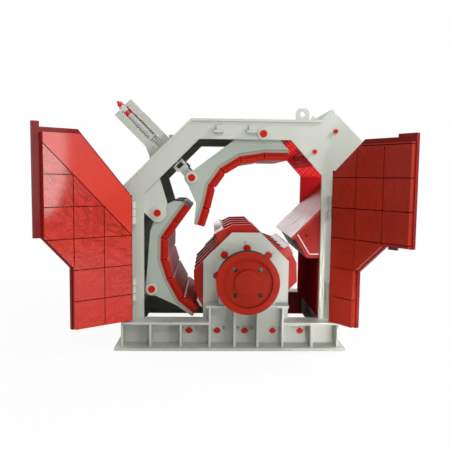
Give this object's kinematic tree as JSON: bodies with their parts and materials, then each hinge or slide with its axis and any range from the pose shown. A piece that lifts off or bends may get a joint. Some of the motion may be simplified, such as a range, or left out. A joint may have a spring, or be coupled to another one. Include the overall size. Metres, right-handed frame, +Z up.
{
  "type": "impact crusher",
  "caption": "Horizontal-shaft impact crusher opened for service, with lined swing doors, adjustable aprons, blow-bar rotor, sloping feed hood and a ribbed base.",
  "frame": {"origin": "ground level at the middle of the foundation bolts", "axes": "+X to the feed side (right in the picture), +Y from the pulley side to the far side, +Z up"},
  "size_m": [3.4463, 2.5168, 2.5518],
  "materials": {
    "frame_grey": "pale warm grey enamel, satin",
    "door_red": "orange-red paint over rough cast wear tiles",
    "liner_red": "red paint over cast liners",
    "rotor_red": "red paint, satin",
    "cap_red": "plain red cap",
    "worn_steel": "bare worn steel",
    "barrel_grey": "grey paint, bare of any label"
  },
  "bodies": {
    "frame": {"near_base_beam": "frame_grey", "far_base_beam": "frame_grey", "end_base_beams": "frame_grey", "bearing_pedestals": "frame_grey", "bearing_housings": "frame_grey", "bearing_plates": "frame_grey", "near_side_plate": "frame_grey", "far_side_plate": "frame_grey", "left_wall": "frame_grey", "left_shoulder_cover": "frame_grey", "roof_plate": "frame_grey", "hood_roof": "frame_grey", "feed_floor": "frame_grey", "feed_plate": "worn_steel", "feed_plate_box": "liner_red", "right_wall": "frame_grey", "right_wall_liners": "liner_red", "curtain_rods": "frame_grey", "chain_curtains": "liner_red", "lifting_eyes": "frame_grey", "clamp_lugs": "frame_grey", "liner_bolt_caps": "cap_red", "hinge_brackets": "frame_grey", "apron_pivot_pins": "frame_grey", "lower_apron_hangers": "frame_grey", "adjuster_rails": "frame_grey", "adjuster_barrels": "barrel_grey"},
    "rotor": {"rotor_discs": "rotor_red", "rotor_core": "rotor_red", "blow_bars": "worn_steel", "rotor_shaft": "worn_steel", "belt_pulley": "rotor_red"},
    "left_door": {"left_door_panel": "door_red", "left_door_liners": "door_red", "left_door_knuckles": "door_red"},
    "right_door": {"right_door_panel": "door_red", "right_door_liners": "door_red", "right_door_knuckles": "door_red"},
    "upper_apron": {"upper_apron_frame": "frame_grey", "upper_apron_liners": "liner_red", "upper_adjust_pins": "frame_grey"},
    "lower_apron": {"lower_apron_frame": "frame_grey", "lower_apron_liners": "liner_red", "lower_adjust_pins": "frame_grey"},
    "upper_rods": {"upper_adjust_rods": "frame_grey"},
    "lower_rods": {"lower_adjust_rods": "frame_grey"}
  },
  "joints": [
    {"name": "rotor_spin", "type": "hinge", "parent": "frame", "child": "rotor", "pos_m": [0.163, 0, 0.722], "axis": [0, 1, 0], "continuous": true},
    {"name": "left_door_swing", "type": "hinge", "parent": "frame", "child": "left_door", "pos_m": [-1, -0.765, 0], "axis": [0, 0, 1], "range_deg": [-28, 144]},
    {"name": "right_door_swing", "type": "hinge", "parent": "frame", "child": "right_door", "pos_m": [1.02, -0.765, 0], "axis": [0, 0, -1], "range_deg": [-40, 126]},
    {"name": "upper_apron_swing", "type": "hinge", "parent": "frame", "child": "upper_apron", "pos_m": [0.32, 0, 2.208], "axis": [0, 1, 0], "range_deg": [-3.5, 3]},
    {"name": "lower_apron_swing", "type": "hinge", "parent": "frame", "child": "lower_apron", "pos_m": [-0.763, 0, 1.386], "axis": [0, 1, 0], "range_deg": [0, 6]},
    {"name": "upper_rod_turn", "type": "hinge", "parent": "upper_apron", "child": "upper_rods", "pos_m": [-0.411, 0, 1.755], "axis": [0, 1, 0], "range_deg": [-12, 12]},
    {"name": "lower_rod_turn", "type": "hinge", "parent": "lower_apron", "child": "lower_rods", "pos_m": [-0.826, 0, 0.58], "axis": [0, 1, 0], "range_deg": [-12, 12]}
  ],
  "couplings": [
    {"joint": "upper_rod_turn", "follows": "upper_apron_swing", "ratio": -1.3632},
    {"joint": "lower_rod_turn", "follows": "lower_apron_swing", "ratio": -1.2201}
  ]
}
